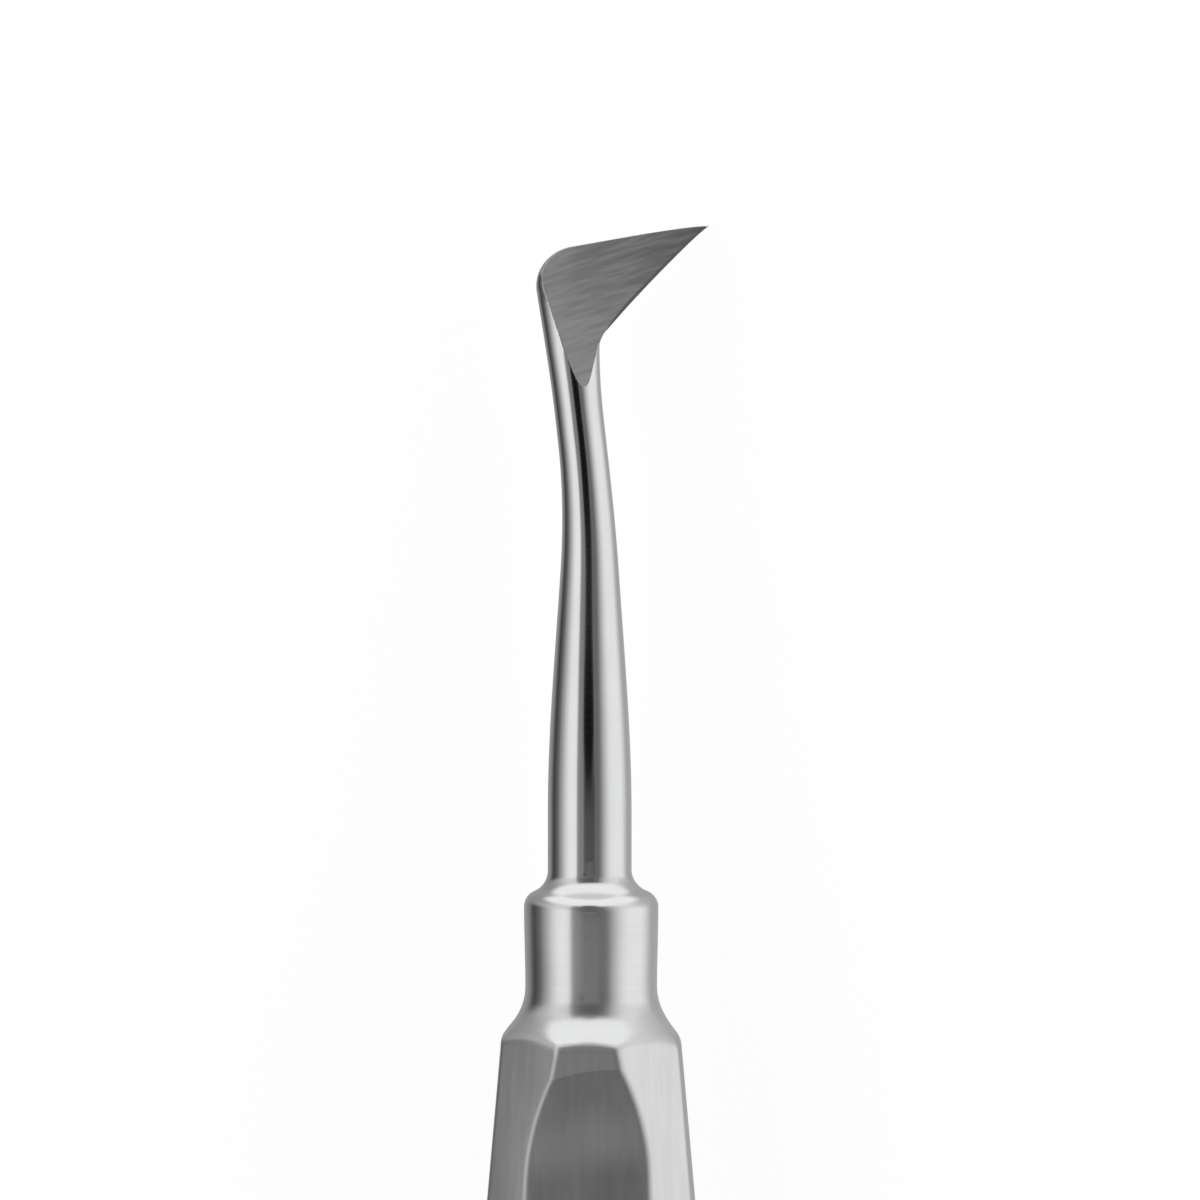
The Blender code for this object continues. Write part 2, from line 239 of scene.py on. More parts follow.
def diagonal_at(back):
    """The same for the four flats between the sides and the front and back."""
    return bent_line(back, DIAGONAL_DISTANCE, GRIP_TAPER, BELLY_LENGTH, BELLY_BLEND, -TAIL_TAPER)


def thumb_flat():
    """Where the crease, the wheel's hollow and the flank behind it lie on the front flat."""
    entry = math.radians(WHEEL_ENTRY)
    leave = math.radians(GRIP_TAPER)
    crease_distance = FRONT_DISTANCE - CREASE_LENGTH * math.tan(math.radians(LEAD_SLOPE))
    hollow_end = CREASE_LENGTH + WHEEL_RADIUS * (math.sin(entry) + math.sin(leave))
    hollow_distance = crease_distance - WHEEL_RADIUS * (math.cos(leave) - math.cos(entry))
    knee = hollow_end + (FLAT_DISTANCE - hollow_distance) / math.tan(leave)
    return crease_distance, hollow_end, hollow_distance, knee


def front_at(back):
    """The front flat's distance from the axis at a distance back from the shoulder."""
    crease_distance, hollow_end, hollow_distance, knee = thumb_flat()
    entry = math.radians(WHEEL_ENTRY)
    lead = FRONT_DISTANCE - back * math.tan(math.radians(LEAD_SLOPE))
    from_wheel = back - CREASE_LENGTH - WHEEL_RADIUS * math.sin(entry)
    wheel_reach = np.sqrt(np.maximum(WHEEL_RADIUS**2 - from_wheel**2, 0.0))
    hollow = crease_distance + WHEEL_RADIUS * math.cos(entry) - wheel_reach
    flank = bent_line(
        back - hollow_end, hollow_distance, GRIP_TAPER, knee - hollow_end, FLAT_BLEND, 0.0
    )
    return np.where(back <= CREASE_LENGTH, lead, np.where(back <= hollow_end, hollow, flank))


def crease_shift(across):
    """The wheel went over the thumb flat a little askew: how far its path is shifted at a place
    across the flat."""
    across = np.clip(across, -CREASE_HALF_WIDTH, CREASE_HALF_WIDTH)
    return CREASE_SKEW * across - CREASE_BOW * (across / CREASE_HALF_WIDTH) ** 2


def edge_centre(corner, back):
    """Across and up places of the centre of a corner's rounding, and how far the front flat is from
    the axis there."""
    side = side_at(back)
    diagonal = math.sqrt(2.0) * diagonal_at(back)
    hand = np.where(np.isin(corner, CORNERS_AWAY_FROM_BLADE), -1.0, 1.0)
    upwards = np.where(corner < FLATS // 2, 1.0, -1.0)
    front = front_at(back + crease_shift(hand * CREASE_HALF_WIDTH))
    of_side = np.isin(corner, CORNERS_OF_SIDES)
    across = hand * np.where(of_side, side, diagonal - front)
    up = upwards * np.where(of_side, diagonal - side, front)
    inset = FACET_EDGE_ROUND / math.cos(0.5 * EIGHTH_TURN)
    bisector = (corner + 0.5) * EIGHTH_TURN
    return across - inset * np.cos(bisector), up - inset * np.sin(bisector), front


def grip_points(station, column):
    """Across and up places of the grip's section, for arrays of stations and columns."""
    back = np.maximum(-station, 0.0)
    corner = column // COLUMNS_PER_FLAT
    within = column % COLUMNS_PER_FLAT
    edge_share = np.clip(within / EDGE_COLUMNS, 0.0, 1.0)
    flat_share = np.clip((within - EDGE_COLUMNS) / FLAT_COLUMNS, 0.0, 1.0)
    across_here, up_here, front_here = edge_centre(corner, back)
    across_next, up_next, front_next = edge_centre((corner + 1) % FLATS, back)
    facing = (corner + edge_share) * EIGHTH_TURN
    outwards = FACET_EDGE_ROUND - FLAT_CROWN * (2.0 * flat_share - 1.0) ** 2
    across = mix(across_here, across_next, flat_share) + outwards * np.cos(facing)
    up = mix(up_here, up_next, flat_share) + outwards * np.sin(facing)
    on_thumb_flat = np.isin(corner, CORNERS_BEFORE_THUMB_FLATS) & (flat_share > 0.0)
    hollow = front_at(back + crease_shift(across)) - mix(front_here, front_next, flat_share)
    return across, up + np.where(on_thumb_flat, hollow * np.sin(facing), 0.0)


# Turned blank


def stock_radius():
    """Radius of the bar that the grip is ground from: a little more than its widest corner."""
    side = float(side_at(BELLY_LENGTH))
    diagonal = math.sqrt(2.0) * float(diagonal_at(BELLY_LENGTH))
    return (1.0 + STOCK_ALLOWANCE) * math.hypot(side, diagonal - side)


def cone_end():
    """The station at which the shoulder's cone runs into its fillet."""
    return WAIST_STATION - SHOULDER_FILLET * math.sin(math.radians(SHOULDER_CONE))


def collar_swing():
    """How far the collar's rounded edge turns before its fillet turns back."""
    return math.acos(1.0 - (COLLAR_RADIUS - SHANK_RADIUS) / (COLLAR_FILLET + COLLAR_EDGE_ROUND))


def collar_edge_end():
    """The station at which the collar's rounded edge runs into its fillet."""
    return COLLAR_STATION + COLLAR_EDGE_ROUND * math.sin(collar_swing())


def shank_foot():
    """The station at which the collar's fillet runs into the shank."""
    return COLLAR_STATION + (COLLAR_FILLET + COLLAR_EDGE_ROUND) * math.sin(collar_swing())


def turned_radius(station):
    """Radius of the turned blank at a station, from the butt to the foot of the shank."""
    full = stock_radius()
    ball = (full**2 + DOME_RISE**2) / (2.0 * DOME_RISE)
    from_butt = np.clip(station + HANDLE_LENGTH, 0.0, DOME_RISE)
    dome = np.sqrt(np.maximum(ball**2 - (ball - from_butt) ** 2, 0.0))
    cone = math.radians(SHOULDER_CONE)
    cone_end_radius = WAIST_RADIUS + SHOULDER_FILLET * (1.0 - math.cos(cone))
    on_cone = np.minimum(cone_end_radius + (cone_end() - station) * math.tan(cone), full)
    into_fillet = np.clip(WAIST_STATION - station, 0.0, WAIST_STATION - cone_end())
    on_fillet = WAIST_RADIUS + SHOULDER_FILLET - np.sqrt(SHOULDER_FILLET**2 - into_fillet**2)
    neck_share = (COLLAR_STATION - station) / (COLLAR_STATION - WAIST_STATION)
    on_neck = mix(COLLAR_RADIUS, WAIST_RADIUS, smooth_share(neck_share))
    past_edge = np.clip(station - COLLAR_STATION, 0.0, COLLAR_EDGE_ROUND)
    on_edge = COLLAR_RADIUS - COLLAR_EDGE_ROUND + np.sqrt(COLLAR_EDGE_ROUND**2 - past_edge**2)
    to_foot = np.clip(shank_foot() - station, 0.0, COLLAR_FILLET)
    on_collar_fillet = SHANK_RADIUS + COLLAR_FILLET - np.sqrt(COLLAR_FILLET**2 - to_foot**2)
    return np.select(
        [
            station < -0.5 * HANDLE_LENGTH,
            station < cone_end(),
            station < WAIST_STATION,
            station < COLLAR_STATION,
            station < collar_edge_end(),
        ],
        [dome, on_cone, on_fillet, on_neck, on_edge],
        on_collar_fillet,
    )


def meeting_station(column, outer, inner):
    """Where the turned blank and the grip's section meet, in each column between two stations. The
    blank is the wider of the two at the inner station."""
    low = np.full(column.shape, outer)
    high = np.full(column.shape, inner)
    for _ in range(HALVINGS):
        middle = 0.5 * (low + high)
        across, up = grip_points(middle, column)
        wider = turned_radius(middle) > np.hypot(across, up)
        high = np.where(wider, middle, high)
        low = np.where(wider, low, middle)
    return 0.5 * (low + high)


def grip_and_neck_rows():
    """Stations of the rows from the butt's dome to the foot of the shank, as one array of columns
    for each row, and how soft the shoulder's edge is in each column. The rows follow the arcs in
    which the flats run out on the cone and on the dome."""
    column = np.arange(COLUMNS)
    sideways = np.cos(column_angles(column))
    at_side = np.where(
        sideways > 0.0, SHOULDER_SOFTNESS_BLADE_SIDE, SHOULDER_SOFTNESS_OTHER_SIDE
    )
    softness = mix(SHOULDER_SOFTNESS_FRONT, at_side, sideways**2)
    shoulder = meeting_station(column, cone_end(), -SHOULDER_ARC_REACH)
    butt = meeting_station(column, -HANDLE_LENGTH, -HANDLE_LENGTH + DOME_RISE)
    shoulder_spread = SHOULDER_EDGE_SPREAD * softness
    _, hollow_end, _, _ = thumb_flat()
    skew = crease_shift(grip_points(np.full(COLUMNS, -CREASE_LENGTH), column)[0])
    rows = [np.full(COLUMNS, -HANDLE_LENGTH + POLE_GAP)]

    def stretch(end, steps, crowding=1.0):
        start = rows[-1]
        for share in shares(steps)[1:]:
            rows.append(mix(start, end, share**crowding))

    stretch(butt - BUTT_EDGE_SPREAD, BUTT_ROWS, BUTT_CROWDING)
    stretch(butt + BUTT_EDGE_SPREAD, EDGE_ROWS)
    stretch(-BELLY_LENGTH - 0.5 * BELLY_BLEND, TAIL_ROWS)
    stretch(skew - hollow_end, FLANK_ROWS)
    stretch(skew - CREASE_LENGTH - CREASE_SPREAD, HOLLOW_ROWS)
    stretch(skew - CREASE_LENGTH + CREASE_SPREAD, CREASE_ROWS)
    stretch(shoulder - shoulder_spread, LEAD_ROWS)
    stretch(shoulder + shoulder_spread, EDGE_ROWS)
    stretch(WAIST_STATION, SHOULDER_ROWS)
    stretch(COLLAR_STATION, WAIST_ROWS)
    stretch(collar_edge_end(), COLLAR_EDGE_ROWS)
    stretch(shank_foot(), COLLAR_FILLET_ROWS)
    return rows, softness


def column_angles(column):
    """Turns of the columns round the axis at the shoulder."""
    across, up = grip_points(np.zeros(column.shape), column)
    return np.unwrap(np.arctan2(up, across))


def even_angles(column):
    """The same number of columns, spread evenly round."""
    angles = column_angles(column)
    middle = angles.mean() - math.pi
    return middle + 2.0 * math.pi * (column + 0.5) / COLUMNS


def grip_and_neck():
    """Points of the grip and the neck, row by row."""
    rows, softness = grip_and_neck_rows()
    column = np.arange(COLUMNS)
    spread = even_angles(column)
    points = []
    for station in rows:
        across, up = grip_points(station, column)
        ground = np.hypot(across, up)
        angle = np.unwrap(np.arctan2(up, across))
        angle = mix(angle, spread, smooth_share((station - WAIST_STATION) / EVENING_LENGTH))
        turned = turned_radius(station)
        at_butt = station < -0.5 * HANDLE_LENGTH
        soft = np.where(at_butt, BUTT_EDGE_SOFTNESS, softness)
        radius = np.where(station < WAIST_STATION, lesser(turned, ground, soft), turned)
        into_fillet = (station - COLLAR_STATION) / (shank_foot() - COLLAR_STATION)
        across = radius * np.cos(angle) + SHANK_OFFSET * smooth_share(into_fillet)
        points.append(np.stack([across, station, radius * np.sin(angle)], axis=1))
    return points


# Shank


def shank_centre(station):
    """A point of the shank's middle line, which bends away from the blade's side."""
    slope = math.tan(math.radians(BEND_ANGLE))
    into_bend = min(max(station - BEND_START, 0.0), BEND_LENGTH)
    past_bend = max(station - BEND_START - BEND_LENGTH, 0.0)
    aside = 0.5 * slope * into_bend**2 / BEND_LENGTH + slope * past_bend
    return Vector((SHANK_OFFSET - aside, station, 0.0))


def shank_direction(station):
    slope = math.tan(math.radians(BEND_ANGLE))
    bent = min(max((station - BEND_START) / BEND_LENGTH, 0.0), 1.0)
    return Vector((-slope * bent, 1.0, 0.0)).normalized()


def shank_radius_at(station):
    share = smooth_share((station - SLIMMING_START) / (SLIM_STATION - SLIMMING_START))
    return float(mix(SHANK_RADIUS, SLIM_RADIUS, share))


def shank_edge(station, side):
    """A point of the shank's outline, on the blade's side, 1.0, or on the other, -1.0."""
    direction = shank_direction(station)
    outwards = Vector((direction.y, -direction.x, 0.0))
    return shank_centre(station) + outwards * (shank_radius_at(station) * side)


def oval(centre, half_width, half_depth):
    """Points round an ellipse that two half axes span, one for each column."""
    turns = even_angles(np.arange(COLUMNS))[:, None]
    across = np.cos(turns) * np.array(half_width)
    return np.array(centre) + across + np.sin(turns) * np.array(half_depth)


def shank():
    points = []
    for share in shares(SHANK_ROWS)[1:-1]:
        station = mix(shank_foot(), BLADE_ROOT, share)
        centre = shank_centre(station)
        half_width = shank_edge(station, 1.0) - centre
        points.append(oval(centre, half_width, UP * shank_radius_at(station)))
    return points


# Flag


def bezier(start, start_handle, end_handle, end, share):
    rest = 1.0 - share
    return (
        start * rest**3
        + start_handle * (3.0 * rest * rest * share)
        + end_handle * (3.0 * rest * share * share)
        + end * share**3
    )


def direction_at(lean):
    """A direction in the level plane, at an angle from straight across to the blade's side."""
    return Vector((math.cos(math.radians(lean)), math.sin(math.radians(lean)), 0.0))


def face_normal():
    """Which way the ground face looks: turned to the blade's side, and pitched to the tip."""
    turn = math.radians(FACE_TURN)
    pitch = math.radians(FACE_PITCH)
    sideways = math.sin(turn) * math.cos(pitch)
    return Vector((sideways, math.sin(pitch), math.cos(turn) * math.cos(pitch)))


def face_point():
    """The foot of the ground face's tongue, where the face runs out of the round shank."""
    turn = math.radians(FACE_TURN)
    outwards = Vector((math.sin(turn), 0.0, math.cos(turn)))
    return shank_centre(FACE_RUNOUT_STATION) + outwards * shank_radius_at(FACE_RUNOUT_STATION)


def face_height(point):
    """Height of the ground face's plane above a point."""
    normal = face_normal()
    return normal.dot(face_point() - point) / normal.z


def flag_tip():
    return Vector((TIP_SIDE, TIP_REACH, 0.0))


def corner_arc():
    """Start and end of the round corner before the working edge, and that edge's direction."""
    corner = Vector((CORNER_SIDE, CORNER_STATION, 0.0))
    edge = (flag_tip() - corner).normalized()
    tangent = CORNER_ROUND * math.tan(0.5 * ALONG.angle(edge))
    return corner - ALONG * tangent, corner + edge * tangent, edge


def hollow_at(share):
    """How far the working edge is hollowed at a share of its length."""
    return EDGE_HOLLOW * (1.0 - (2.0 * share - 1.0) ** 2)


def inner_outline():
    """Outline on the blade's side: the root, the round corner and the hollowed working edge."""
    root = shank_edge(BLADE_ROOT, 1.0)
    start, end, edge = corner_arc()
    inwards = Vector((-edge.y, edge.x, 0.0))
    reach = (start - root).length / 3.0
    handle = root + shank_direction(BLADE_ROOT) * reach
    pull = (end - start).length / 3.0
    points = []
    for share in shares(ROOT_ROWS):
        points.append(bezier(root, handle, start - ALONG * reach, start, share))
    for share in shares(HEEL_ROWS)[1:]:
        points.append(bezier(start, start + ALONG * pull, end - edge * pull, end, share))
    for share in shares(FLAG_ROWS)[1:]:
        points.append(mix(end, flag_tip(), share) + inwards * hollow_at(share))
    return points


def outer_outline():
    """Outline on the other side: the root, the heel and the top edge."""
    root = shank_edge(BLADE_ROOT, -1.0)
    heel = Vector((HEEL_SIDE, HEEL_STATION, 0.0))
    lean = 90.0 + HEEL_LEAN
    heel_centre = heel - direction_at(lean + 90.0) * HEEL_RADIUS
    heel_end = heel_centre + direction_at(TOP_EDGE_LEAN + 90.0) * HEEL_RADIUS
    reach = (heel - root).length / 3.0
    handle = root + shank_direction(BLADE_ROOT) * reach
    points = []
    for share in shares(ROOT_ROWS):
        points.append(bezier(root, handle, heel - direction_at(lean) * reach, heel, share))
    for share in shares(HEEL_ROWS)[1:]:
        turn = mix(lean, TOP_EDGE_LEAN, share) + 90.0
        points.append(heel_centre + direction_at(turn) * HEEL_RADIUS)
    crown = heel_end + direction_at(TOP_EDGE_LEAN) * TOP_EDGE_REACH
    tip_handle = flag_tip() - direction_at(TIP_LEAN) * TIP_LEAN_REACH
    for share in shares(FLAG_ROWS)[1:]:
        points.append(bezier(heel_end, crown, tip_handle, flag_tip(), share))
    return points


def flag():
    """Ellipses between the two outlines. They turn from the shank's circle into flat ones that lie
    a rim's depth under the ground face."""
    start = FLATTENING_START * ROOT_ROWS
    end = ROOT_ROWS + FLATTENING_END * HEEL_ROWS
    pairs = list(zip(inner_outline(), outer_outline()))
    points = []
    for index, (inner, outer) in enumerate(pairs):
        into_flag = float(smooth_share((index - start) / (end - start)))
        rim = RIM_LEAST + RIM_SHARE * 0.5 * (inner - outer).length
        ends = []
        for point in (inner, outer):
            ends.append(point + UP * ((face_height(point) - rim) * into_flag))
        half_width = 0.5 * (ends[0] - ends[1])
        centre = 0.5 * (ends[0] + ends[1])
        if index == len(pairs) - 1:
            points.append(np.array([centre]))
            continue
        across = half_width.normalized()
        outwards = mix(UP, face_normal(), into_flag)
        outwards = (outwards - across * across.dot(outwards)).normalized()
        depth = mix(shank_radius_at(BLADE_ROOT), BACK_ROUNDNESS * half_width.length, into_flag)
        points.append(oval(centre, half_width, outwards * depth))
    return points


# The whole piece


def eased_and_shaded_at(row, index):
    """How far a point of the skin is eased and shaded, from 0 to 1: there the edge is rougher and
    gets a painted shade. Only edges beside the thumb flats are.
    """
    corner, within = divmod(index, COLUMNS_PER_FLAT)
    if corner not in CORNERS_OF_THUMB_FLATS or within > EDGE_COLUMNS:
        return 0.0
    over_edge = 0.5 * (min(within, EDGE_COLUMNS - within) + 1)
    from_ends = 2.0 * min(row - GRIP_START, NECK_START - row) / EDGE_ROWS
    return max(min(over_edge, from_ends, 1.0), 0.0)


def finish_of(row):
    """The number of the finish between a row of the skin and the next one."""
    if GRIP_START <= row < NECK_START:
        return SATIN
    if NECK_START <= row < NECK_END:
        return TURNED
    return POLISHED


def skin(rows, name):
    """A closed mesh through rows of points, with the number of its finish on each face. The last
    row may be a single point, the first is closed by a point on the axis."""
    shape = bmesh.new()
    lift = Vector((0.0, SHOULDER_PLACE, AXIS_HEIGHT))
    # How much painted shade and roughness each point beside the thumb flats gets
    eased_and_shaded = shape.verts.layers.float.new("eased_and_shaded")
    made = [[shape.verts.new(Vector(point) + lift) for point in row] for row in rows]
    for row, ring in enumerate(made):
        for index, vertex in enumerate(ring):
            vertex[eased_and_shaded] = eased_and_shaded_at(row, index)
    pole = shape.verts.new(lift - ALONG * HANDLE_LENGTH)
    for index in range(COLUMNS):
        after = (index + 1) % COLUMNS
        shape.faces.new([pole, made[0][index], made[0][after]])
        for row, (first, second) in enumerate(zip(made, made[1:])):
            if len(second) > 1:
                face = shape.faces.new([first[index], second[index], second[after], first[after]])
            else:
                face = shape.faces.new([first[index], second[0], first[after]])
            face.material_index = finish_of(row)
    bmesh.ops.recalc_face_normals(shape, faces=shape.faces)
    mesh = bpy.data.meshes.new(name)
    shape.to_mesh(mesh)
    shape.free()
    piece = bpy.data.objects.new(name, mesh)
    bpy.context.scene.collection.objects.link(piece)
    return piece


def grinder(name, profile, across, outwards, size, finish):
    """A tool that takes away all on the outer side of a surface, whose line along the piece is
    the profile. The faces that it leaves on the piece get the finish of that number."""
    shape = bmesh.new()
    rings = []
    for side in (-size, size):
        near = [point + across * side for point in profile]
        ring = near + [point + outwards * size for point in reversed(near)]
        rings.append([shape.verts.new(point) for point in ring])
    count = len(rings[0])
    for index in range(count):
        after = (index + 1) % count
        shape.faces.new([rings[0][index], rings[0][after], rings[1][after], rings[1][index]])
    for ring in rings:
        shape.faces.new(ring)
    for face in shape.faces:
        face.material_index = finish
    bmesh.ops.recalc_face_normals(shape, faces=shape.faces)
    mesh = bpy.data.meshes.new(name)
    shape.to_mesh(mesh)
    shape.free()
    tool = bpy.data.objects.new(name, mesh)
    tool.location = (0.0, SHOULDER_PLACE, AXIS_HEIGHT)
    bpy.context.scene.collection.objects.link(tool)
    return tool


def face_grinder():
    normal = face_normal()
    up_the_flag = (ALONG - normal * normal.dot(ALONG)).normalized()
    size = TIP_REACH - FACE_RUNOUT_STATION + TIP_SIDE
    profile = [face_point() + up_the_flag * reach for reach in (-OVERRUN, size)]
    return grinder("face_grinder", profile, normal.cross(up_the_flag), normal, size, BRUSHED)


def land_grinder():
    _, start, _ = corner_arc()
    normal = face_normal()
    tip = flag_tip()
    along = (tip + UP * face_height(tip) - start - UP * face_height(start)).normalized()
    away = along.cross(normal).normalized()
    angle = math.radians(EDGE_LAND_ANGLE)
    outwards = normal * math.cos(angle) + away * math.sin(angle)
    profile = []
    for share in shares(LAND_STEPS):
        point = mix(start, tip, share)
        inset = hollow_at(share) + EDGE_LAND * (1.0 - (2.0 * share - 1.0) ** LAND_EVENNESS)
        profile.append(point + UP * face_height(point) - away * inset)
    profile.append(profile[-1] + along * OVERRUN)
    return grinder("land_grinder", profile, along.cross(outwards), outwards, OVERRUN, LAND)


def ground(piece, cutters):
    """Grinds the piece with each cutter in turn, and leaves one plain mesh."""
    for cutter in cutters:
        step = piece.modifiers.new(cutter.name, "BOOLEAN")
        step.operation = "DIFFERENCE"
        step.object = cutter
        step.solver = "EXACT"
    seen = piece.evaluated_get(bpy.context.evaluated_depsgraph_get())
    mesh = bpy.data.meshes.new_from_object(seen)
    piece.modifiers.clear()
    piece.data = mesh
    for cutter in cutters:
        bpy.data.objects.remove(cutter)
    for face in mesh.polygons:
        face.use_smooth = face.material_index not in (BRUSHED, LAND)


def dental_elevator():
    rows = grip_and_neck() + shank() + flag()
    piece = skin(rows, "elevator_steel")
    dress(piece)
    ground(piece, [face_grinder(), land_grinder()])
    return piece


# Finishes


def add_node(tree, kind, values=(), **settings):
    """A node with values or links in its first sockets. None leaves a socket as it is."""
    node = tree.nodes.new(kind)
    for name, setting in settings.items():
        setattr(node, name, setting)
    for socket, value in zip(node.inputs, values):
        if isinstance(value, bpy.types.NodeSocket):
            tree.links.new(value, socket)
        elif value is not None:
            socket.default_value = value
    return node


def maths(tree, operation, *values):
    return add_node(tree, "ShaderNodeMath", values, operation=operation).outputs[0]


def mapped(tree, value, low, high, new_low, new_high, **settings):
    """Takes a value between low and high to its place between new_low and new_high."""
    values = (value, low, high, new_low, new_high)
    return add_node(tree, "ShaderNodeMapRange", values, **settings).outputs[0]


# A grain's streaks have a length, a width and a depth, a lay in degrees, and an unevenness. Most of
# the noise that makes them lies within a range.
Grain = namedtuple("Grain", "size lay unevenness")
NOISE_RANGE = (0.3, 0.7)


def grain(tree, size, lay, unevenness):
    """Uneven streaks with the length, the width and the depth of size, laid at an angle to the
    X axis, as a level about 1."""
    place = add_node(tree, "ShaderNodeTexCoord").outputs["Object"]
    turn = (0.0, 0.0, math.radians(lay))
    laid = add_node(
        tree, "ShaderNodeMapping", (place, None, turn, size), vector_type="TEXTURE"
    ).outputs[0]
    noise = add_node(tree, "ShaderNodeTexNoise")
    tree.links.new(laid, noise.inputs["Vector"])
    noise.inputs["Scale"].default_value = 1.0
    noise.inputs["Detail"].default_value = 0.0
    return mapped(tree, noise.outputs[0], *NOISE_RANGE, 1.0 - unevenness, 1.0 + unevenness)


def scale_input(tree, socket, factor):
    """Multiplies what a socket gets by a factor."""
    tree.links.new(maths(tree, "MULTIPLY", socket.links[0].from_socket, factor), socket)


# Steel's green and blue, against its red
STEEL_GREEN = 1.006
STEEL_BLUE = 1.014


def steel(name, level, roughness, grains):
    """Steel whose colour and roughness vary a little with the marks of its finishing. Gives the
    material, and the vector node that sets how bright its colour is."""
    material = bpy.data.materials.new(name)
    material.use_nodes = True
    tree = material.node_tree
    shader = tree.nodes["Principled BSDF"]
    shader.inputs["Metallic"].default_value = 1.0
    streaks = grain(tree, *grains[0])
    marks = maths(tree, "MULTIPLY", streaks, grain(tree, *grains[1]))
    colour = (level, level * STEEL_GREEN, level * STEEL_BLUE)
    tint = add_node(tree, "ShaderNodeVectorMath", (colour,), operation="SCALE")
    tree.links.new(marks, tint.inputs["Scale"])
    tree.links.new(tint.outputs[0], shader.inputs["Base Color"])
    tree.links.new(maths(tree, "MULTIPLY", streaks, roughness), shader.inputs["Roughness"])
    return material, tint


# The first grain of a finish is that of its streaks, which colour and roughness share. The second
# is a cloudiness, or finer streaks.
POLISHING = [Grain((0.006, 0.0003, 0.0003), 90.0, 0.01), Grain((0.003, 0.003, 0.003), 0.0, 0.015)]
TURNING = [Grain((0.02, 0.00025, 0.02), 0.0, 0.012), Grain((0.003, 0.003, 0.003), 0.0, 0.02)]
GRINDING = [Grain((0.006, 0.0004, 0.0004), 90.0, 0.03), Grain((0.0016, 0.005, 0.0016), 0.0, 0.03)]
BRUSHING = [Grain((0.0024, 0.00027, 0.02), 18.0, 0.15), Grain((0.0009, 0.00011, 0.02), 15.0, 0.06)]

# From the tongue's foot to the blade's tip, the ground face gets darker and its streaks deeper
FACE_FADE = Vector((0.0104, 0.0078, 0.0))
FACE_BRIGHTNESS = (1.13, 0.47)
FACE_STREAK_DEPTH = (0.5, 1.3)

# The edges beside the thumb flats, against the flats: a painted shade that dims the highlight their
# rounding mirrors, and a rougher finish
EASED_PAINTED_SHADE = 0.78
EASED_ROUGHNESS = 1.27


def brushed_face_with_painted_shade():
    """The ground face: slanting brush streaks, faint and pale on the tongue, and deeper and darker
    towards the tip.
    Its colour is painted far darker than the steel's, a painted shade for the dark room that the
    face mirrors."""
    # Painted shade: the level of 0.37, and the fade below, paint the face darker than its steel.
    material, tint = steel("brushed_face_with_painted_shade", level=0.37, roughness=0.42, grains=BRUSHING)
    tree = material.node_tree
    place = add_node(tree, "ShaderNodeTexCoord").outputs["Object"]
    foot = face_point() + Vector((0.0, SHOULDER_PLACE, AXIS_HEIGHT))
    out = add_node(tree, "ShaderNodeVectorMath", (place, foot), operation="SUBTRACT").outputs[0]
    share = add_node(
        tree,
        "ShaderNodeVectorMath",
        (out, FACE_FADE / FACE_FADE.length_squared),
        operation="DOT_PRODUCT",
    ).outputs["Value"]
    brightness = mapped(tree, share, 0.0, 1.0, *FACE_BRIGHTNESS)
    depth = mapped(tree, share, 0.0, 1.0, *FACE_STREAK_DEPTH)
    marks = tint.inputs["Scale"].links[0].from_socket
    off_level = maths(tree, "SUBTRACT", marks, 1.0)
    deepened = maths(tree, "MULTIPLY_ADD", off_level, depth, 1.0)
    tree.links.new(maths(tree, "MULTIPLY", deepened, brightness), tint.inputs["Scale"])
    return material


def satin_flats():
    """The flats of the grip, and the edges beside the thumb flats, which are rougher and painted
    darker, a painted shade over the highlight that they mirror.
    """
    material, tint = steel("satin_flats", level=0.665, roughness=0.33, grains=GRINDING)
    tree = material.node_tree
    eased_and_shaded = add_node(tree, "ShaderNodeAttribute", attribute_name="eased_and_shaded").outputs["Fac"]
    # Painted shade: the edges beside the thumb flats get a darker colour, which dims the highlight
    # they mirror.
    scale_input(tree, tint.inputs["Scale"], mapped(tree, eased_and_shaded, 0.0, 1.0, 1.0, EASED_PAINTED_SHADE))
    rougher = mapped(tree, eased_and_shaded, 0.0, 1.0, 1.0, EASED_ROUGHNESS)
    scale_input(tree, tree.nodes["Principled BSDF"].inputs["Roughness"], rougher)
    return material


def dress(piece):
    """Gives the piece its finishes, in the order of their numbers."""
    for material in (
        steel("polished_shank", level=0.70, roughness=0.12, grains=POLISHING)[0],
        steel("turned_neck", level=0.70, roughness=0.19, grains=TURNING)[0],
        satin_flats(),
        brushed_face_with_painted_shade(),
        # The land is the same steel; its colour is painted dark, a painted shade for the dark room
        # that the narrow land mirrors.
        steel("edge_land_painted_dark", level=0.15, roughness=0.35, grains=GRINDING)[0],
    ):
        piece.data.materials.append(material)


# Studio


FLOOR_SIZE = 4.0
FLOOR_GLOW = 1.175
FLOOR_GLOW_SHARE = 0.75


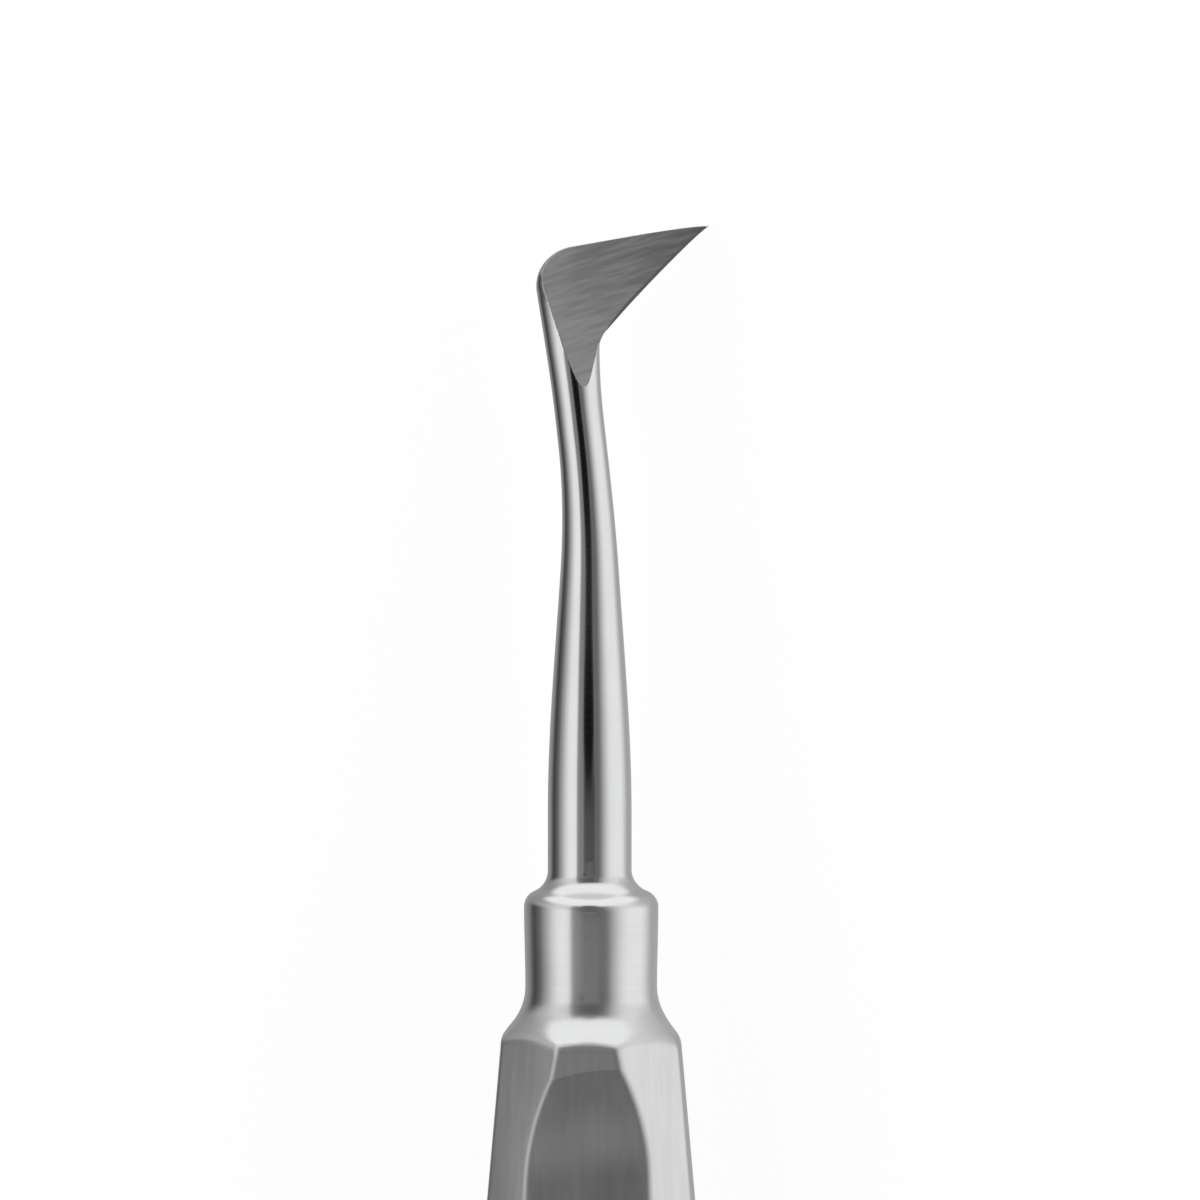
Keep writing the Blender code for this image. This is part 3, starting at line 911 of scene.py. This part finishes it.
def floor():
    """A floor that shows white. Its glow, which only the camera sees, makes up for what the
    studio's light leaves dark, and the rest of it keeps the shadow."""
    bpy.ops.mesh.primitive_plane_add(size=FLOOR_SIZE, location=(0.0, 0.0, 0.0))
    plane = bpy.context.object
    plane.name = "floor"
    material = bpy.data.materials.new("pale_floor")
    material.use_nodes = True
    tree = material.node_tree
    shader = tree.nodes["Principled BSDF"]
    shader.inputs["Base Color"].default_value = (0.9, 0.9, 0.9, 1.0)
    shader.inputs["Roughness"].default_value = 0.9
    shader.inputs["Specular IOR Level"].default_value = 0.0
    glow = add_node(tree, "ShaderNodeEmission", ((1.0, 1.0, 1.0, 1.0), FLOOR_GLOW)).outputs[0]
    seen = add_node(tree, "ShaderNodeLightPath").outputs["Is Camera Ray"]
    share = maths(tree, "MULTIPLY", seen, FLOOR_GLOW_SHARE)
    blend = add_node(tree, "ShaderNodeMixShader", (share, shader.outputs[0], glow))
    tree.links.new(blend.outputs[0], tree.nodes["Material Output"].inputs["Surface"])
    plane.data.materials.append(material)
    plane.visible_glossy = False


# The room that the steel mirrors, as rings of brightness round the instrument's axis. Turns are in
# degrees from straight up, and go towards the blade's side. One ring stands beside the piece, two
# behind it towards the butt, and one ahead of it towards the blade.
BESIDE = [
    (-180, 0.40), (-150, 0.38), (-133, 0.30), (-123, 0.16), (-114, 0.055), (-98, 0.15), (-94, 0.19),
    (-86.5, 0.37), (-82, 0.42), (-70, 0.74), (-58, 1.02), (-46, 1.09), (-34.5, 1.04), (-30.5, 0.33),
    (-25, 0.28), (-14, 0.245), (-4, 0.225), (6, 0.205), (16, 0.18), (26, 0.165), (31, 0.21),
    (36.7, 0.37), (48, 0.69), (59, 0.95), (72, 1.07), (101, 1.05), (112, 0.84), (121, 0.64),
    (128, 0.50), (146, 0.47), (160, 0.50), (180, 0.40),
]
OVERHEAD_TURN = 27
OVERHEAD_LIFT = 1.22
BEHIND = [
    (turn, level * (OVERHEAD_LIFT if abs(turn) < OVERHEAD_TURN else 1.0)) for turn, level in BESIDE
]
PAST_BUTT = [
    (-180, 0.42), (-130, 0.30), (-104, 0.36), (-78, 0.80), (-52, 0.86), (-36, 0.22), (-24, 0.15),
    (24, 0.14), (38, 0.28), (58, 0.95), (88, 1.00), (108, 0.62), (140, 0.38), (180, 0.42),
]
AHEAD = [
    (-180, 0.42), (-137, 0.34), (-110, 0.40), (-85, 0.62), (-60, 0.88), (-38, 0.84), (-31, 0.28),
    (-14, 0.14), (8, 0.12), (26, 0.18), (45, 0.62), (62, 0.90), (85, 0.95), (105, 0.72),
    (135, 0.56), (180, 0.42),
]

# Where each ring starts to take over and where it is alone, from -1, straight past the butt, to 1,
# straight past the blade, where a white panel ends the room
RINGS = [(-0.09, -0.17, BEHIND), (-0.30, -0.50, PAST_BUTT), (0.14, 0.38, AHEAD)]
END_PANEL = 1.15
END_PANEL_RISE = (0.60, 0.76)


def ring_level(tree, turn_share, ring):
    """How bright a ring is at a share of the turn. A ramp's colours go up to 1, so it holds half
    of each level."""
    ramp = add_node(tree, "ShaderNodeValToRGB", (turn_share,))
    stops = ramp.color_ramp.elements
    stops[0].position = 0.0
    stops[1].position = 1.0
    for turn, _ in ring[1:-1]:
        stops.new(0.5 + turn / 360.0)
    for stop, (_, level) in zip(stops, ring):
        stop.color = (level / 2.0, level / 2.0, level / 2.0, 1.0)
    return maths(tree, "MULTIPLY", ramp.outputs[0], 2.0)


def rise(tree, value, start, end):
    """A smooth rise from 0 to 1 as a value goes from a start to an end."""
    return mapped(tree, value, start, end, 0.0, 1.0, interpolation_type="SMOOTHSTEP")


def blended(tree, share, first, second):
    change = maths(tree, "SUBTRACT", second, first)
    return maths(tree, "MULTIPLY_ADD", change, share, first)


def studio_world():
    """A soft studio that the steel mirrors. Bright panels stand on both sides, the room behind the
    camera is darker, and a white panel stands past the blade's end. The camera sees white."""
    world = bpy.data.worlds.new("studio")
    bpy.context.scene.world = world
    world.use_nodes = True
    tree = world.node_tree
    tree.nodes.clear()
    direction = add_node(tree, "ShaderNodeTexCoord").outputs["Generated"]
    across, along, up = add_node(tree, "ShaderNodeSeparateXYZ", (direction,)).outputs
    turn = maths(tree, "ARCTAN2", across, up)
    turn_share = maths(tree, "MULTIPLY_ADD", turn, 0.5 / math.pi, 0.5)
    level = ring_level(tree, turn_share, BESIDE)
    for start, end, ring in RINGS:
        share = rise(tree, along, start, end)
        level = blended(tree, share, level, ring_level(tree, turn_share, ring))
    level = blended(tree, rise(tree, along, *END_PANEL_RISE), level, END_PANEL)
    seen = add_node(tree, "ShaderNodeLightPath").outputs["Is Camera Ray"]
    strength = blended(tree, seen, level, 1.0)
    background = add_node(tree, "ShaderNodeBackground", ((1.0, 1.0, 1.0, 1.0), strength)).outputs[0]
    add_node(tree, "ShaderNodeOutputWorld", (background,))


def card(name, outline, height, level):
    """A card that only the steel mirrors, at a height over the axis. Its outline has places
    across the piece and stations along it."""
    shape = bmesh.new()
    shape.faces.new([shape.verts.new((across, station, 0.0)) for across, station in outline])
    mesh = bpy.data.meshes.new(name)
    shape.to_mesh(mesh)
    shape.free()
    plane = bpy.data.objects.new(name, mesh)
    plane.location = (0.0, SHOULDER_PLACE, AXIS_HEIGHT + height)
    bpy.context.scene.collection.objects.link(plane)
    material = bpy.data.materials.new(name)
    material.use_nodes = True
    tree = material.node_tree
    tree.nodes.clear()
    glow = add_node(tree, "ShaderNodeEmission", ((level, level, level, 1.0), 1.0)).outputs[0]
    add_node(tree, "ShaderNodeOutputMaterial", (glow,))
    mesh.materials.append(material)
    plane.visible_camera = False
    plane.visible_shadow = False
    plane.visible_diffuse = False


def rectangle(left, right, start, end):
    return [(left, start), (right, start), (right, end), (left, end)]


def ellipse(half_width, middle, half_length, corners):
    turns = [2.0 * math.pi * share for share in shares(corners)[1:]]
    return [(half_width * math.cos(turn), middle + half_length * math.sin(turn)) for turn in turns]


def cards():
    """The lens and the body of the camera, as the polished shank mirrors them, and small grey cards
    that keep them out of the fillets at the shoulder and at the collar."""
    card("lens_card", ellipse(0.15, 0.0475, 0.05, corners=64), height=0.5435, level=0.002)
    card("body_card", rectangle(-0.12, 0.17, -0.045, 0.01), height=0.5445, level=0.07)
    card("waist_card", rectangle(-0.004, 0.0057, -0.0002, 0.0073), height=0.022, level=0.23)
    card("collar_card", rectangle(-0.0018, 0.0026, 0.0086, 0.01), height=0.0125, level=0.23)
    card("foot_card", rectangle(-0.0009, 0.0012, 0.0113, 0.0122), height=0.0065, level=0.15)


# The camera stands nearly straight above the shank, a little towards the tip and the blade's side.
# Sensor and lens are in millimetres.
CAMERA_DISTANCE = 0.45
CAMERA_TILT = 3.0
CAMERA_ROLL = 3.0
AIM_SIDE = 0.00059
AIM_STATION = 0.02973
PICTURE_WIDTH = 0.080
SENSOR_WIDTH = 36.0
NEAREST_SEEN = 0.01
FARTHEST_SEEN = 20.0


def camera():
    data = bpy.data.cameras.new("camera")
    data.sensor_width = SENSOR_WIDTH
    data.lens = SENSOR_WIDTH * CAMERA_DISTANCE / PICTURE_WIDTH
    data.clip_start = NEAREST_SEEN
    data.clip_end = FARTHEST_SEEN
    eye = bpy.data.objects.new("camera", data)
    bpy.context.scene.collection.objects.link(eye)
    aim = Vector((AIM_SIDE, SHOULDER_PLACE + AIM_STATION, AXIS_HEIGHT))
    tilt = math.radians(CAMERA_TILT)
    roll = math.radians(CAMERA_ROLL)
    sideways = math.sin(roll) * math.cos(tilt)
    back = Vector((sideways, math.sin(tilt), math.cos(roll) * math.cos(tilt)))
    eye.location = aim + back * CAMERA_DISTANCE
    right = ALONG.cross(back).normalized()
    top = back.cross(right)
    matrix = eye.matrix_world.copy()
    for row in range(3):
        matrix[row][0] = right[row]
        matrix[row][1] = top[row]
        matrix[row][2] = back[row]
        matrix[row][3] = eye.location[row]
    eye.matrix_world = matrix
    bpy.context.scene.camera = eye


piece = dental_elevator()
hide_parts("dental_elevator")
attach(piece, "root")
floor()
cards()
studio_world()
camera()

bpy.context.scene.view_settings.view_transform = "Standard"
